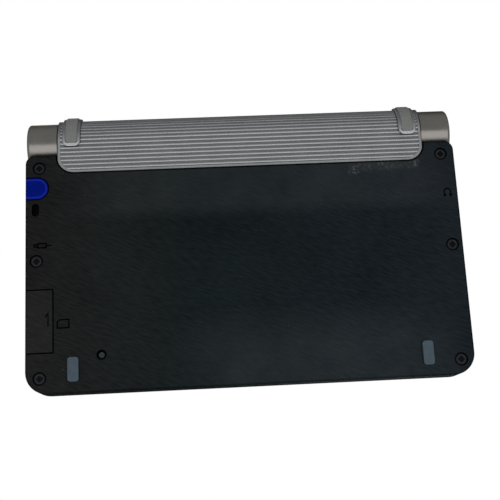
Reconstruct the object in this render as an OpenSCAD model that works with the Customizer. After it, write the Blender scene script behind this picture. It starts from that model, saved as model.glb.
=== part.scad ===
// Pocket electronic dictionary, closed, standing on its feet.
// Millimetres. +X is the user's right, +Y runs back to the hinge, +Z is up.
// The origin is on the table, in the middle of the footprint.

/* [Case] */
// Height of the bottom cover
bottom_h = 5.35; // [5.25:0.05:6]
// Height of the keyboard deck above the bottom cover
deck_h = 4.5; // [4.4:0.05:5]
// Thickness of the case's side walls
wall = 1.4; // [1.2:0.05:1.6]
// Thickness of the bottom cover's floor
floor_t = 1.4; // [1.2:0.05:1.5]
// Radius of the case's front corners, seen from above
front_corner_r = 7.3; // [5:0.1:9]
// Radius of the case's rear corners, seen from above
rear_corner_r = 3; // [2:0.1:4]
// Radius of the rounded edge round the bottom
edge_r = 0.9; // [0.5:0.05:1.1]
// Radius of the rounded edge round the keyboard deck
rim_edge_r = 0.5; // [0.3:0.05:0.8]
// Seam between pieces of the case that come apart
seam = 0.2; // [0.15:0.01:0.25]

/* [Barrel] */
// Outer radius of the ribbed barrel
barrel_r = 9.4; // [9.2:0.05:10]
// Distance of the barrel's axis behind the case's rear corners
barrel_back = 5.4; // [5:0.1:6]
// Radius of the smooth end caps
cap_r = 8.6; // [8.4:0.05:8.8]
// Length of each end cap along the barrel
cap_l = 10.5; // [9:0.1:11]
// How far an end cap's outer face lies in from the case's side
cap_inset = 0.2; // [0.1:0.05:1]
// Radius of the rounded edge of an end cap
cap_edge_r = 1; // [0.5:0.1:2]
// Running gap round an end cap
cap_gap = 0.4; // [0.3:0.05:0.6]
// Radius of the steel hinge pins
pin_r = 2; // [1.5:0.1:2.5]
// Length of a hinge pin
pin_l = 14; // [12:0.5:15]
// Thickness of the wall between a hinge pin's end and the battery bay
pin_stop = 1.7; // [1.2:0.1:3]
// Radial clearance of a hinge pin in its end cap
pin_clearance = 0.06; // [0.03:0.01:0.1]

/* [Battery cover] */
// Thickness of the battery cover
cover_t = 1.2; // [1.1:0.05:1.3]
// How far the cover's flat tongue reaches in front of the barrel's axis
tongue_reach = 11.8; // [11.5:0.1:13]
// Radius of the tongue's front corners
tongue_corner_r = 5.5; // [4:0.1:7]
// Seam between the bottom cover and the battery cover
tongue_gap = 0.4; // [0.2:0.05:0.5]
// Number of ribs across the flat tongue
tongue_ribs = 7; // [5:1:8]
// Radius of one round rib
rib_r = 0.66; // [0.5:0.01:0.68]
// Depth of the ribs' grooves
rib_depth = 0.35; // [0.2:0.01:0.45]
// Plain border at each end of the ribs
side_border = 1; // [0.6:0.1:1.5]
// Plain border in front of the ribs
front_border = 0.7; // [0.5:0.05:0.75]
// Angle above the rear at which the cover ends
cover_end_deg = 55; // [45:1:60]

/* [Rear feet] */
// How far the four feet stand proud of the bottom
foot_proud = 1.15; // [0.8:0.05:1.3]
// Distance of a foot's middle from the end of the ribbed barrel
foot_in = 4.8; // [4.4:0.1:8]
// Width of a rear foot's rubber pad
rear_pad_w = 4.1; // [3.5:0.1:5]
// Radius of a rear pad's corners
rear_pad_r = 1.2; // [0.6:0.1:1.5]
// Plain rim on each side of a rear pad
rear_rim_w = 1.05; // [0.8:0.05:1.2]
// Height of the rim above the barrel
rear_rim_h = 0.75; // [0.5:0.05:0.8]
// Radius of the rounded edges of the pads and their rims
rear_edge_r = 0.45; // [0.2:0.05:0.5]
// Angle at which a rear foot starts, below the barrel
rear_foot_from = -98; // [-105:1:-94]
// Angle at which a rear foot ends, behind the barrel
rear_foot_to = -5; // [-20:1:0]

/* [Front feet] */
// Distance of a front foot's centre from the front edge
front_foot_y = 7.55; // [7:0.05:12]
// Width of a front foot
front_foot_w = 3.5; // [3:0.1:5]
// Length of a front foot
front_foot_l = 7.9; // [6:0.1:10]
// Radius of a front foot's corners
front_foot_r = 0.9; // [0.4:0.1:1.4]
// Depth of a foot's pocket
foot_pocket = 0.4; // [0.3:0.05:0.6]

/* [Batteries] */
// Radius of one battery cell
cell_r = 7.25; // [7.1:0.05:7.25]
// Length of one battery cell
cell_l = 50.5; // [49:0.1:50.6]
// Gap round the cells
cell_gap = 0.15; // [0.1:0.05:0.2]
// Room at each end for the contacts
contact_room = 3.9; // [3.5:0.1:4.2]

/* [Lid] */
// Gap under the closed lid
lid_gap = 0.3; // [0.2:0.05:0.4]
// How far the lid's front lies behind the case's front
lid_front_inset = 1; // [0.8:0.1:2]
// Thickness of the lid's walls
lid_wall = 1.3; // [1.1:0.05:1.6]
// Radius of the lid's rounded upper edge
lid_edge_r = 2.5; // [1.5:0.1:3]
// Thickness of the screen bezel
bezel_t = 1.2; // [1:0.05:1.3]
// Width of the visible screen
screen_w = 105; // [90:0.5:112]
// Depth of the visible screen
screen_d = 60; // [50:0.5:62]
// Distance of the screen's lower edge in front of the hinge axis
screen_back = 17; // [15.5:0.5:19]
// Thickness of the display panel
panel_t = 3; // [2:0.1:4]
// How far the display panel reaches past the screen on each side
panel_lap = 2; // [1:0.1:3]
// Thickness of the screen's clear window
window_t = 0.8; // [0.6:0.05:0.9]

/* [Keyboard] */
// Width of the rim round the keyboard
rim_w = 2.2; // [1.8:0.1:3]
// Depth of the keyboard's well below the rim
well_depth = 1.2; // [1.15:0.05:1.4]
// Thickness of the deck under the well
deck_t = 1.2; // [1.1:0.05:1.4]
// Width of a letter key
key_w = 9; // [7:0.1:9.2]
// Depth of a letter key
key_d = 8.6; // [7:0.1:9]
// Space between neighbouring letter keys, across
key_space_x = 1.4; // [1.3:0.05:1.6]
// Space between rows of letter keys
key_space_y = 2.4; // [1.5:0.05:2.8]
// Space between the rim and the first letter key
key_side = 5.7; // [3:0.1:6]
// Space between the letter keys and the cursor ring behind it
zone_gap = 2.5; // [1.8:0.1:4]
// Space between the cursor ring and the rim in front of it
front_gap = 2.2; // [1.5:0.1:4]
// Distance of the top letter row in front of the hinge axis
key_rows_back = 32.5; // [32.3:0.1:34]
// How far a key stands proud of its well
key_proud = 1.1; // [0.9:0.05:1.15]
// Travel of a key
key_travel = 0.8; // [0.5:0.05:0.85]
// Gap between a key and its hole
key_gap = 0.2; // [0.15:0.01:0.3]
// Radius of a key's corners
key_corner_r = 1.5; // [0.8:0.1:2]
// Depth of the dish in a key's top
key_dish = 0.25; // [0.1:0.05:0.35]
// Width of the flange that holds a key in
flange_w = 0.45; // [0.35:0.05:0.5]
// Thickness of the flange that holds a key in
flange_t = 0.6; // [0.5:0.05:0.65]
// Radius of the cursor ring
cursor_r = 10.5; // [9:0.1:11]
// Radius of the round key inside the cursor ring
ok_r = 4; // [3:0.1:4.5]
// Distance of the function strip in front of the hinge axis
strip_back = 20.3; // [20:0.1:20.6]
// Number of keys on the function strip
strip_keys = 10; // [6:1:10]
// Width of the writing pad
pad_w = 82; // [60:1:84]
// Depth of the writing pad
pad_d = 20; // [16:0.5:20]
// Thickness of the writing pad
pad_t = 0.75; // [0.5:0.05:0.85]

/* [Stylus] */
// Width of the stylus tail
tail_w = 7.35; // [6:0.05:7.5]
// Length of the stylus tail
tail_l = 7.7; // [7.6:0.1:9]
// Distance of the stylus axis in front of the hinge axis
stylus_back = 17.3; // [17.2:0.1:18]
// Radius of the stylus shaft
stylus_r = 1.8; // [1.5:0.05:1.85]
// Length of the whole stylus
stylus_l = 104; // [80:1:110]

/* [Card door] */
// Width of the card door, seen from below
door_w = 9.15; // [8:0.05:9.5]
// Length of the card door
door_l = 20.95; // [18:0.05:22]
// Distance of the card door's front end from the front edge
door_from_front = 13.35; // [12:0.05:15]
// Width of the memory card
card_w = 11; // [10.8:0.1:11.2]
// Thickness of the memory card
card_t = 0.7; // [0.6:0.05:0.8]
// Radius of the door's hinge pins
door_pin_r = 0.4; // [0.3:0.05:0.45]

/* [Ports and holes] */
// How far the earphone jack lies behind the strap hole's middle, on the other side
jack_behind = 0.8; // [0:0.1:2]
// Radius of the earphone jack's bore
jack_bore_r = 1.8; // [1.6:0.05:1.9]
// Depth of the earphone jack's bore
jack_depth = 13; // [12:0.5:14]
// Space between the data socket and the strap hole
usb_gap = 5.75; // [3:0.05:6]
// Width of the data socket's mouth
usb_w = 7.4; // [7:0.1:7.6]
// Height of the data socket's mouth
usb_h = 2.5; // [2.2:0.1:2.6]
// Space between the strap hole and the stylus tail
strap_gap = 1.575; // [1.2:0.025:2]
// Width of the strap hole
strap_w = 2.45; // [2:0.05:2.6]
// Length of the strap hole
strap_l = 4.5; // [4:0.1:5]
// Distance of the strap hole from the case's side
strap_in = 3.45; // [3:0.05:4]
// Distance of the reset hole from the middle of the front foot beside it
reset_in = 9.2; // [5:0.1:12]
// Distance of the reset hole from the front edge
reset_from_front = 11.95; // [11.5:0.05:14]
// Radius of the reset hole
reset_r = 1.5; // [1.2:0.05:1.7]
// Radius of the reset button's tip
reset_tip_r = 0.95; // [0.7:0.05:1]
// Travel of the reset button
reset_travel = 0.4; // [0.2:0.05:0.5]

/* [Screws] */
// Radius of a case screw's head
screw_head_r = 1.9; // [1.6:0.05:2]
// Height of a case screw's head
screw_head_h = 0.9; // [0.7:0.05:1]
// Radius of a case screw's shank
screw_r = 0.9; // [0.8:0.05:1]
// How deep a case screw's head lies below the surface
screw_sunk = 0.3; // [0.2:0.05:0.35]
// Distance of the middle screws from the case's sides
screw_side = 3.75; // [3.7:0.05:4.2]
// Distance of the corner screws from the case's sides, and of the rear ones from its rear edge
screw_corner = 4.75; // [4.6:0.05:5.2]
// Distance of the front screws from the front edge
screw_front_y = 5; // [4.8:0.1:6]
// Distance of the middle screws from the data socket's side
screw_mid_gap = 2.4; // [2.3:0.05:3.5]

/* [Electronics] */
// Thickness of the circuit board
board_t = 0.8; // [0.6:0.05:1]
// Thickness of the rubber key membrane between its domes
membrane_t = 0.4; // [0.3:0.05:0.45]
// Radius of a rubber dome under a key
dome_r = 2; // [1.5:0.1:2.5]
// Radius of the loudspeaker
speaker_r = 7.5; // [6:0.1:8]
// Thickness of the loudspeaker
speaker_t = 2; // [1.5:0.1:2.1]

/* [Hidden] */
$fn = 48;
sides = [-1, 1];

// Clearances, and how far a cut runs past the face that it opens
eps = 0.01;
touch = 0.05;
loose = 0.1;
thread_gap = 0.03;
cut = 1;

// Depth of the case, whose lid and deck are as deep as the screen or the keyboard needs
key_pitch_x = key_w + key_space_x;
key_pitch_y = key_d + key_space_y;
key_rows_d = 2 * key_pitch_y + key_d / 2;
keyboard_d = key_rows_back - barrel_back + key_rows_d + zone_gap + 2 * cursor_r + front_gap + rim_w;
display_d = screen_back - barrel_back + screen_d + panel_lap + loose + lid_wall + lid_front_inset;
case_d = max(keyboard_d, display_d);

// Width of the case: from the middle outward over a cell, its contact, a pin and an end cap
bay_half = cell_l + contact_room;
barrel_half = bay_half + pin_stop + pin_l / 2;
cap_in_x = barrel_half + seam;
cap_out_x = cap_in_x + cap_l;
case_x = cap_out_x + cap_inset;

// Overall places
overall_d = case_d + barrel_back + barrel_r + foot_proud;
front_y = -overall_d / 2;
rear_y = front_y + case_d;
barrel_y = rear_y + barrel_back;
base_z = foot_proud;
barrel_z = base_z + barrel_r;
floor_z = base_z + floor_t;
parting_z = base_z + bottom_h;
rim_z = parting_z + deck_h;
well_z = rim_z - well_depth;
deck_under_z = well_z - deck_t;
lid_z = rim_z + lid_gap;
lid_top_z = barrel_z + cap_r;
cap_well_r = cap_r + cap_gap;
foot_x = barrel_half - foot_in;

// Battery bay
tongue_y = barrel_y - tongue_reach;
cover_in_r = barrel_r - cover_t;
core_r = cover_in_r - seam;
shelf_z = base_z + cover_t + seam;
bay_r = cell_r + cell_gap;
rib_arc_deg = tongue_reach / (tongue_ribs + 1) / barrel_r * 180 / PI;
rib_centre_r = barrel_r - rib_r - 0.02;
groove_r = barrel_r - rib_depth;
rib_root_r = (cover_in_r + groove_r) / 2;
cover_lip_deg = 2.5;
pad_seat_r = barrel_r - 0.2;
corner_over = 0.04;
housing_end_deg = cover_end_deg + 2;
leaf_w = 6;
leaf_t = 0.5;
leaf_half = 4.5;
lip_half = 2.6;

// Lid
lid_front_y = front_y + lid_front_inset;
lid_corner_r = front_corner_r - lid_front_inset / 2;
lid_clear_r = barrel_r + foot_proud + 0.25;
wing_back = cap_well_r;
wing_y = barrel_y - wing_back;
lid_rear_y = barrel_y - sqrt(lid_clear_r * lid_clear_r - cap_r * cap_r);
lid_in_x = cap_out_x - lid_wall;
bezel_top_z = lid_z + bezel_t;
screen_y = barrel_y - screen_back - screen_d / 2;
bezel_rear_y = barrel_y - lid_clear_r - lid_wall;
bumper_r = 1.5;
lid_tail = 3;
lid_screw_head_r = 1.6;
lid_screw_head_h = 0.5;
bezel_screw_side = 9.8;
bezel_screw_end = 6;
bumper_side = 3.5;
bumper_front = 6.5;
bumper_rear = 4;
bezel_screws = [for (s = sides, y = [lid_front_y + bezel_screw_end, bezel_rear_y - bezel_screw_end])
    [s * (lid_in_x - bezel_screw_side), y]];
bumper_places = [for (s = sides, y = [lid_front_y + bumper_front, bezel_rear_y - bumper_rear])
    [s * (lid_in_x - bumper_side), y]];

// Keyboard
board_top_z = parting_z - loose;
board_z = board_top_z - board_t;
membrane_z = board_top_z + touch;
flange_top_z = deck_under_z - touch;
key_bottom_z = flange_top_z - flange_t;
key_top_z = well_z + key_proud;
dome_top_z = key_bottom_z - key_travel - loose;
letters = ["q", "w", "e", "r", "t", "y", "u", "i", "o", "p",
           "a", "s", "d", "f", "g", "h", "j", "k", "l",
           "z", "x", "c", "v", "b", "n", "m"];
row_starts = [0, 10, 19];
row_shift = [0, 0.25, 0.75];
keys_y = barrel_y - key_rows_back;
keys_x = -case_x + rim_w + key_side + key_w / 2;
cluster_x = (keys_x + 9 * key_pitch_x + key_w / 2 + case_x - rim_w) / 2;
cluster_w = 2 * cursor_r;
front_zone_y = keys_y - key_rows_d - zone_gap;
cursor_y = front_zone_y - cursor_r;
pad_x = keys_x + 1.3 * key_pitch_x + pad_w / 2;
pad_behind = 0.8;
pad_y = front_zone_y - pad_d / 2 - pad_behind;
pad_corner_r = 1.5;
ring_gap = 0.25;
ring_edge_r = 0.4;
strip_y = barrel_y - strip_back;
strip_pitch = 11.2;
strip_key_w = 9;
strip_key_d = 5.2;
strip_d = 8.2;
strip_w = strip_keys * strip_pitch;
strip_t = 0.9;
strip_low = 0.3;
speaker_in = 2.2;
speaker_x = keys_x + speaker_in;
speaker_y = pad_y;
grille_r = 0.5;
grille_pitch = 2;
grille_rings = 2;

// Stylus, card door, ports
stylus_y = barrel_y - stylus_back;
stylus_z = floor_z + 0.15 + stylus_r;
tail_h = bottom_h - 0.4;
tip_l = 4;
guide_t = 0.8;
guide_y = stylus_r + seam;
guide_end = 0.6;
guide_start = 5;
guide_x0 = case_x - stylus_l - guide_end;
guide_x1 = case_x - tail_l - guide_start;
door_y0 = front_y + door_from_front;
door_x0 = case_x - door_w;
door_axis_x = case_x - wall / 2;
door_axis_z = parting_z - seam - wall / 2;
door_pin_l = 0.9;
door_pin_gap = 0.08;
card_socket_l = 15;
card_shell = 0.4;
card_back_t = 1;
strap_y = stylus_y - tail_w / 2 - strap_gap - strap_l / 2;
strap_x = case_x - strap_in;
jack_y = strap_y + jack_behind;
jack_up = 2.75;
jack_z = floor_z + jack_up;
jack_nose_r = 2.8;
jack_w = 6;
jack_h = 5;
jack_seat = 0.3;
jack_x0 = -case_x + wall + jack_seat;
usb_y = strap_y - strap_l / 2 - usb_gap - usb_w / 2;
usb_z = board_z - touch - usb_h / 2;
usb_shell = 0.3;
usb_l = 7;
usb_in = 0.3;
usb_x0 = case_x - usb_in - usb_l;
usb_back_t = 1;
usb_tongue_t = 0.6;
usb_tongue_side = 1.6;
reset_x = foot_x - reset_in;
reset_y = front_y + reset_from_front;
reset_flange_r = reset_r + 0.7;
reset_flange_t = 0.6;
reset_stem_r = 0.8;
reset_sunk = 0.8;
speaker_z = deck_under_z - touch - speaker_t;
speaker_rim = 1.2;
speaker_dip = 0.4;

// Circuit board: its edges, and its chips as x, y from the top letter row, width, depth, height
board_side = 7;
board_front = 4.5;
board_rear = 1;
strap_room_x = 6;
strap_room_y = 4;
board_x = case_x - board_side;
board_y0 = front_y + board_front;
board_y1 = stylus_y - guide_y - guide_t - board_rear;
chips = [[-8, -8, 16, 16, 1.4], [16, -8, 11, 8, 1.1], [16, -24, 12, 18, 1],
         [-30, -8, 9, 9, 1.2], [-24, -24, 8, 3.2, 2]];

// Screws
screw_gap = 0.15;
post_r = 2;
screw_tip_z = deck_under_z - 0.4;
screw_places = [for (s = sides) each [
    [s * (case_x - screw_corner), front_y + screw_front_y],
    [s * (case_x - screw_side), usb_y - usb_w / 2 - screw_mid_gap],
    [s * (case_x - screw_corner), rear_y - screw_corner]]];

// Posts that the circuit board rests on
post_front = 9;
post_rear = 2;
post_mid = 20;
post_left = 40;
post_right = 36;
post_out = 46;
standoffs = [[-post_left, front_y + post_front], [post_right, front_y + post_front],
             [-post_out, keys_y + post_rear], [post_left, keys_y + post_rear], [0, keys_y - post_mid]];

// ---------- shared shapes ----------

// Moves children into the barrel's frame: there x is back, y is up and z runs along the barrel.
module in_barrel() {
    translate([0, barrel_y, barrel_z]) rotate([90, 0, 90]) children();
}

// Extrudes a profile of the barrel's frame along the barrel, centred on x.
module along_barrel(x, length) {
    in_barrel() translate([0, 0, x - length / 2]) linear_extrude(length) children();
}

// A wedge from the origin between two angles.
module wedge(from_deg, to_deg, reach) {
    step = (to_deg - from_deg) / 4;
    polygon(concat([[0, 0]],
        [for (i = [0:4]) reach * [cos(from_deg + i * step), sin(from_deg + i * step)]]));
}

// A rectangle from the origin whose lower outer corner is rounded. Only a quarter of the rounding
// circle is drawn, so that the profile never crosses the origin, about which slabs turn it.
module corner_profile(length, h, r) {
    translate([0, r]) square([length, h - r]);
    square([length - r, r]);
    translate([length - r, r]) intersection() {
        circle(r);
        translate([0, -r]) square(r);
    }
}

// A slab with its own radii for the front and rear corners and a rounded lower edge.
module slab(half_w, y0, y1, front_r, back_r, h, r) {
    translate([0, y0 + front_r, 0]) rotate([90, 0, 90])
        translate([0, 0, -half_w + front_r]) linear_extrude(2 * (half_w - front_r))
            mirror([1, 0]) corner_profile(front_r, h, r);
    translate([0, y1 - back_r, 0]) rotate([90, 0, 90])
        translate([0, 0, -half_w + back_r]) linear_extrude(2 * (half_w - back_r))
            corner_profile(back_r, h, r);
    translate([0, y1 - back_r, 0]) rotate([90, 0, 0]) linear_extrude(y1 - back_r - y0 - front_r) {
        corner_profile(half_w, h, r);
        mirror([1, 0]) corner_profile(half_w, h, r);
    }
    for (s = sides) {
        translate([s * (half_w - front_r), y0 + front_r, 0]) rotate([0, 0, s > 0 ? -90 : 180])
            rotate_extrude(angle = 90) corner_profile(front_r, h, r);
        translate([s * (half_w - back_r), y1 - back_r, 0]) rotate([0, 0, s > 0 ? 0 : 90])
            rotate_extrude(angle = 90) corner_profile(back_r, h, r);
    }
}

// A flat outline with its own radii for the front and rear corners.
module outline(half_w, y0, y1, front_r, back_r) {
    translate([-half_w, y0 + front_r]) square([2 * half_w, y1 - back_r - y0 - front_r]);
    translate([-half_w + front_r, y0]) square([2 * (half_w - front_r), front_r]);
    translate([-half_w + back_r, y1 - back_r]) square([2 * (half_w - back_r), back_r]);
    for (s = sides) {
        translate([s * (half_w - front_r), y0 + front_r]) circle(front_r);
        translate([s * (half_w - back_r), y1 - back_r]) circle(back_r);
    }
}

// A centred rectangle with round corners.
module round_rect(w, d, r) {
    outline(w / 2, -d / 2, d / 2, r, r);
}

// The outline of the case, drawn in by an amount.
module case_outline(inset) {
    outline(case_x - inset, front_y + inset, rear_y - inset,
        front_corner_r - inset, max(rear_corner_r - inset, 0.5));
}

// The outline of the battery bay, with the tongue's rounded corners, grown by an amount.
module bay_outline(grow) {
    half = barrel_half + grow;
    r = tongue_corner_r + grow;
    y0 = tongue_y - grow;
    translate([-half, y0 + r]) square([2 * half, rear_y + 1 - y0 - r]);
    translate([-half + r, y0]) square([2 * (half - r), r]);
    for (s = sides) translate([s * (half - r), y0 + r]) circle(r);
}

// Cylinders round the barrel's axis, where the end caps turn.
module cap_wells(r, x_in) {
    for (s = sides) in_barrel() translate([0, 0, s > 0 ? x_in : -case_x - 1])
        cylinder(r = r, h = case_x + 1 - x_in);
}

// ---------- case ----------

// A rail that stands on the floor, as high as the circuit board's top face.
module floor_rail(x0, x1, y0, y1) {
    translate([x0, y0, base_z]) cube([x1 - x0, y1 - y0, board_top_z - base_z]);
}

// Two rails beside the stylus and a stop at its tip.
module stylus_guide() {
    out_y = guide_y + guide_t;
    floor_rail(guide_x0, guide_x1, stylus_y - out_y, stylus_y - guide_y);
    floor_rail(guide_x0, guide_x1, stylus_y + guide_y, stylus_y + out_y);
    floor_rail(guide_x0 - guide_t, guide_x0, stylus_y - out_y, stylus_y + out_y);
}

module bottom_cavity() {
    difference() {
        translate([0, 0, floor_z]) linear_extrude(bottom_h) case_outline(wall);
        translate([0, 0, floor_z - cut]) linear_extrude(bottom_h + 2 * cut) bay_outline(tongue_gap + wall);
        cap_wells(cap_well_r + wall, 0);
        for (p = screw_places) translate([p.x, p.y, base_z]) cylinder(r = post_r, h = bottom_h + cut);
        for (p = standoffs) translate([p.x, p.y, base_z]) cylinder(r = post_r, h = board_z - base_z);
        stylus_guide();
    }
}

module screw_hole(p) {
    translate([p.x, p.y, base_z - cut]) {
        cylinder(r = screw_r + screw_gap, h = bottom_h + 2 * cut);
        cylinder(r = screw_head_r + screw_gap, h = cut + screw_sunk + screw_head_h);
    }
}

module stylus_mouth(gap) {
    round_r = tail_w / 2;
    translate([case_x - tail_l + round_r, stylus_y]) circle(round_r + gap);
    translate([case_x - tail_l + round_r, stylus_y - round_r - gap])
        square([tail_l - round_r + (gap > 0 ? cut : 0), tail_w + 2 * gap]);
}

module strap_oval() {
    translate([strap_x, strap_y]) square([strap_w, strap_l - strap_w], center = true);
    for (s = sides) translate([strap_x, strap_y + s * (strap_l - strap_w) / 2]) circle(strap_w / 2);
}

module jack_hole() {
    translate([-case_x - cut, jack_y, jack_z]) rotate([0, 90, 0])
        cylinder(r = jack_nose_r + seam, h = wall + 2 * cut);
}

// The strap's loop goes in through the oval and comes out of the side.
module strap_holes() {
    translate([0, 0, base_z - cut]) linear_extrude(floor_t + 2 * cut) strap_oval();
    translate([case_x - wall - cut, strap_y - (strap_l - strap_w) / 2, floor_z + 0.5])
        cube([wall + 2 * cut, strap_l - strap_w, strap_w]);
}

// The door's opening, and the holes that its two pins turn in.
module door_hole() {
    pin_reach = seam + door_pin_l + loose;
    translate([door_x0 - seam, door_y0 - seam, base_z - cut])
        cube([door_w + seam + cut, door_l + 2 * seam, bottom_h + 2 * cut]);
    translate([door_axis_x, door_y0 - pin_reach, door_axis_z]) rotate([-90, 0, 0])
        cylinder(r = door_pin_r + door_pin_gap, h = door_l + 2 * pin_reach);
}

module usb_hole() {
    translate([case_x - wall - cut, usb_y - usb_w / 2 - seam, usb_z - usb_h / 2 - seam])
        cube([wall + 2 * cut, usb_w + 2 * seam, usb_h + 2 * seam]);
}

module foot_pockets() {
    for (s = sides) translate([s * foot_x, front_y + front_foot_y, base_z - cut])
        linear_extrude(cut + foot_pocket)
            round_rect(front_foot_w + 2 * touch, front_foot_l + 2 * touch, front_foot_r);
}

module bottom_cover() {
    color([0.13, 0.15, 0.16]) difference() {
        translate([0, 0, base_z])
            slab(case_x, front_y, rear_y, front_corner_r, rear_corner_r, bottom_h, edge_r);
        bottom_cavity();
        translate([0, 0, base_z - cut]) linear_extrude(bottom_h + 2 * cut) bay_outline(tongue_gap);
        cap_wells(cap_well_r, barrel_half - cut);
        for (p = screw_places) screw_hole(p);
        foot_pockets();
        translate([reset_x, reset_y, base_z - cut]) cylinder(r = reset_r, h = floor_t + 2 * cut);
        strap_holes();
        translate([0, 0, base_z - cut]) linear_extrude(cut + tail_h + seam) stylus_mouth(seam);
        door_hole();
        usb_hole();
        jack_hole();
    }
}

module deck_cavity() {
    difference() {
        translate([0, 0, parting_z - cut]) linear_extrude(deck_under_z - parting_z + cut)
            case_outline(wall);
        translate([0, 0, parting_z - 2 * cut]) linear_extrude(deck_h + 2 * cut) bay_outline(seam + wall);
        cap_wells(cap_well_r + wall, 0);
        for (p = screw_places) translate([p.x, p.y, parting_z - cut]) cylinder(r = post_r, h = deck_h);
    }
}

// Centre of letter key number i.
function letter_row(i) = i < row_starts[1] ? 0 : i < row_starts[2] ? 1 : 2;
function letter_place(i) = let (row = letter_row(i)) [
    keys_x + (i - row_starts[row] + row_shift[row]) * key_pitch_x,
    keys_y - row * key_pitch_y];

enter_d = key_d + key_pitch_y;
enter_place = [cluster_x, keys_y - 1.5 * key_pitch_y];
back_place = [cluster_x, keys_y];
cursor_place = [cluster_x, cursor_y];

// Where a rubber dome stands under a key: one each, and four under the cursor ring.
ring_mid_r = (ok_r + cursor_r) / 2 + ring_gap;
dome_places = concat(
    [for (i = [0:len(letters) - 1]) letter_place(i)],
    [enter_place, back_place, cursor_place],
    [for (a = [0:90:270]) cursor_place + ring_mid_r * [cos(a), sin(a)]]);

// Centre of key number i on the function strip.
function strip_place(i) = [(i - (strip_keys - 1) / 2) * strip_pitch, strip_y];

// A key's outline, grown by the gap round it.
module key_hole(place, w, d) {
    translate(place) round_rect(w + 2 * key_gap, d + 2 * key_gap, key_corner_r + key_gap);
}

module key_holes() {
    for (i = [0:len(letters) - 1]) key_hole(letter_place(i), key_w, key_d);
    for (i = [0:strip_keys - 1]) key_hole(strip_place(i), strip_key_w, strip_key_d);
    key_hole(enter_place, cluster_w, enter_d);
    key_hole(back_place, cluster_w, key_d);
    translate(cursor_place) circle(cursor_r + key_gap);
}

module grille() {
    for (row = [-grille_rings:grille_rings], col = [-grille_rings:grille_rings])
        if (abs(row) + abs(col) < 2 * grille_rings)
            translate([speaker_x + col * grille_pitch, speaker_y + row * grille_pitch]) circle(grille_r);
}

// The recess that the keys stand in.
module keyboard_well() {
    translate([0, 0, well_z]) linear_extrude(well_depth + cut)
        outline(case_x - rim_w, front_y + rim_w, tongue_y - seam - rim_w, front_corner_r - rim_w,
            rear_corner_r);
}

module keyboard_deck() {
    color([0.12, 0.13, 0.14]) difference() {
        translate([0, 0, rim_z]) mirror([0, 0, 1])
            slab(case_x, front_y, rear_y, front_corner_r, rear_corner_r, deck_h, rim_edge_r);
        deck_cavity();
        keyboard_well();
        translate([0, 0, parting_z - cut]) linear_extrude(deck_h + 2 * cut) bay_outline(seam);
        cap_wells(cap_well_r, barrel_half - cut);
        for (p = screw_places) translate([p.x, p.y, parting_z - cut])
            cylinder(r = screw_r + thread_gap, h = screw_tip_z - parting_z + cut + loose);
        translate([0, 0, deck_under_z - cut]) linear_extrude(deck_t + 2 * cut) {
            key_holes();
            grille();
        }
        translate([pad_x, pad_y, well_z - pad_t]) linear_extrude(pad_t + cut)
            round_rect(pad_w + 2 * touch, pad_d + 2 * touch, pad_corner_r);
        jack_hole();
    }
}

module case_screws() {
    slot_l = screw_head_r * 1.2;
    slot_w = screw_head_r * 0.3;
    head_z = base_z + screw_sunk;
    color([0.1, 0.1, 0.11]) for (p = screw_places) translate([p.x, p.y, head_z]) difference() {
        union() {
            cylinder(r = screw_head_r, h = screw_head_h);
            cylinder(r = screw_r, h = screw_tip_z - head_z);
        }
        for (a = [0, 90]) rotate([0, 0, a])
            translate([-slot_l / 2, -slot_w / 2, -cut]) cube([slot_l, slot_w, cut + screw_head_h / 2]);
    }
}

module front_feet() {
    color([0.33, 0.38, 0.42]) for (s = sides)
        translate([s * foot_x, front_y + front_foot_y, 0]) linear_extrude(base_z + foot_pocket)
            round_rect(front_foot_w, front_foot_l, front_foot_r);
}

// ---------- electronics ----------

// The board has a tab over the data socket, and corners cut away for the earphone jack and the strap.
module main_board() {
    tab_x = case_x - wall - 1;
    jack_x1 = jack_x0 + jack_depth + loose;
    color([0.05, 0.3, 0.18]) translate([0, 0, board_z]) linear_extrude(board_t) difference() {
        union() {
            translate([-board_x, board_y0]) square([2 * board_x, board_y1 - board_y0]);
            translate([0, usb_y - usb_w / 2]) square([tab_x, usb_w]);
        }
        translate([-case_x, jack_y - jack_w / 2 - loose]) square([jack_x1 + case_x, case_d]);
        translate([strap_x - strap_room_x, strap_y - strap_room_y]) square([2 * case_x, case_d]);
    }
}

module board_chips() {
    color([0.08, 0.08, 0.09]) for (c = chips)
        translate([c[0] - c[2] / 2, keys_y + c[1] - c[3] / 2, board_z - c[4]]) cube([c[2], c[3], c[4]]);
}

// A rubber sheet on the board, with a dome under each key that stops the key's travel.
module key_membrane() {
    y0 = keys_y - 2 * key_pitch_y - key_d / 2 - 0.8;
    y1 = keys_y + key_d / 2 + 0.7;
    x0 = cluster_x - cursor_r - 1;
    color([0.75, 0.76, 0.72]) {
        translate([0, 0, membrane_z]) linear_extrude(membrane_t) {
            translate([-board_x, y0]) square([2 * board_x, y1 - y0]);
            translate([x0, board_y0]) square([board_x - x0, y0 - board_y0]);
        }
        for (p = dome_places) translate([p.x, p.y, membrane_z])
            cylinder(r = dome_r, h = dome_top_z - membrane_z);
    }
}

module usb_socket() {
    half_w = usb_w / 2;
    color([0.72, 0.73, 0.74]) difference() {
        translate([usb_x0, usb_y - half_w, usb_z - usb_h / 2]) cube([usb_l, usb_w, usb_h]);
        translate([usb_x0 + usb_back_t, usb_y - half_w + usb_shell, usb_z - usb_h / 2 + usb_shell])
            cube([usb_l, usb_w - 2 * usb_shell, usb_h - 2 * usb_shell]);
    }
    color([0.1, 0.1, 0.1])
        translate([usb_x0 + usb_back_t - touch, usb_y - half_w + usb_tongue_side, usb_z - usb_tongue_t / 2])
            cube([usb_l - 2 * usb_back_t, usb_w - 2 * usb_tongue_side, usb_tongue_t]);
}

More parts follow.
